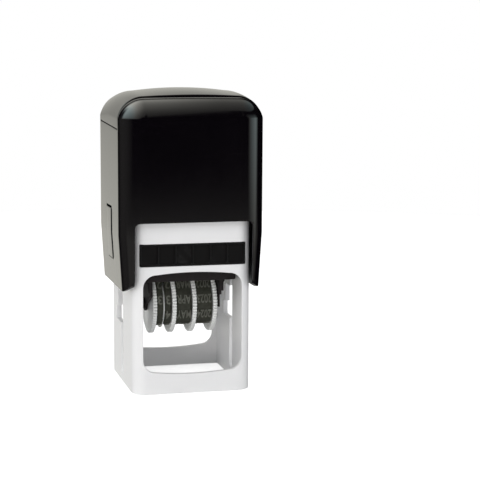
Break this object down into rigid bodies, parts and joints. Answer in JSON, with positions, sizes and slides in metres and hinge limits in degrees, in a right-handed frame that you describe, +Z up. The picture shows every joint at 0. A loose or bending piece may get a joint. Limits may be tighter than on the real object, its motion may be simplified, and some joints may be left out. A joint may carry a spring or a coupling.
{
  "type": "self-inking date stamp",
  "caption": "Self-inking date stamp: a black press cap over an open light frame, with thumb-set date wheels and bands on a rotor that flips from the ink pad to the paper.",
  "frame": {"origin": "middle of the bounding box on the plane of the paper, z = 0 at the frame's foot", "axes": "+Z up along the press, -Y towards the front with the pad's grip, +X to the user's right"},
  "size_m": [0.0564, 0.0546, 0.116],
  "materials": {
    "light_shell": "moulded light grey plastic, satin gloss",
    "black_shell": "moulded black plastic, polished",
    "black_tray": "moulded black plastic",
    "felt": "inked felt",
    "dark_plastic": "moulded black plastic, matte",
    "yoke_plastic": "moulded black plastic, matte",
    "plate_plastic": "moulded plastic plate",
    "die_rubber": "engraved rubber",
    "band_rubber": "moulded rubber with raised characters",
    "wheel_plastic": "moulded light grey plastic",
    "steel": "drawn steel"
  },
  "bodies": {
    "base": {"frame": "light_shell", "frame_deck": "light_shell", "return_spring": "steel"},
    "pad": {"pad_tray": "black_tray", "ink_pad": "felt"},
    "cap": {"cap_shell": "black_shell", "slider_yoke": "yoke_plastic"},
    "cover": {"index_cover": "black_shell"},
    "button_left": {"lock_button_left": "black_shell"},
    "button_right": {"lock_button_right": "black_shell"},
    "rotor": {"rotor_frame": "dark_plastic", "cheek_left": "dark_plastic", "cheek_right": "dark_plastic", "text_plate": "plate_plastic", "die_rubber": "die_rubber", "band_anvil": "dark_plastic", "band_day_tens": "band_rubber", "band_day_units": "band_rubber", "band_month": "band_rubber", "band_year": "band_rubber", "band_divider": "wheel_plastic", "axle_spacer": "steel", "wheel_axle": "steel"},
    "wheel_day_tens": {"wheel_day_tens": "wheel_plastic"},
    "wheel_day_units": {"wheel_day_units": "wheel_plastic"},
    "wheel_month": {"wheel_month": "wheel_plastic"},
    "wheel_year": {"wheel_year": "wheel_plastic"}
  },
  "joints": [
    {"name": "cap_slide", "type": "slide", "parent": "base", "child": "cap", "axis": [0, 0, -1], "range_m": [0, 0.0344], "stiffness_N_per_m": 350, "springref_m": -0.012, "deforming": ["return_spring"]},
    {"name": "rotor_flip", "type": "hinge", "parent": "cap", "child": "rotor", "pos_m": [0, 0, 0.0413], "axis": [1, 0, 0], "range_deg": [0, 180]},
    {"name": "pad_slide", "type": "slide", "parent": "base", "child": "pad", "axis": [0, 1, 0], "range_m": [-0.04, 0]},
    {"name": "cover_lift", "type": "slide", "parent": "cap", "child": "cover", "axis": [0, 0, 1], "range_m": [0, 0.015]},
    {"name": "button_left_press", "type": "slide", "parent": "cap", "child": "button_left", "axis": [1, 0, 0], "range_m": [0, 0.001], "stiffness_N_per_m": 400},
    {"name": "button_right_press", "type": "slide", "parent": "cap", "child": "button_right", "axis": [-1, 0, 0], "range_m": [0, 0.001], "stiffness_N_per_m": 400},
    {"name": "wheel_day_tens_turn", "type": "hinge", "parent": "rotor", "child": "wheel_day_tens", "pos_m": [-0.01215, 0, 0.0312], "axis": [1, 0, 0], "continuous": true},
    {"name": "wheel_day_units_turn", "type": "hinge", "parent": "rotor", "child": "wheel_day_units", "pos_m": [-0.0044, 0, 0.0312], "axis": [1, 0, 0], "continuous": true},
    {"name": "wheel_month_turn", "type": "hinge", "parent": "rotor", "child": "wheel_month", "pos_m": [0.0037, 0, 0.0312], "axis": [1, 0, 0], "continuous": true},
    {"name": "wheel_year_turn", "type": "hinge", "parent": "rotor", "child": "wheel_year", "pos_m": [0.0119, 0, 0.0312], "axis": [1, 0, 0], "continuous": true}
  ],
  "couplings": [
    {"joint": "rotor_flip", "follows": "cap_slide", "rad_per_m": 91.325}
  ]
}
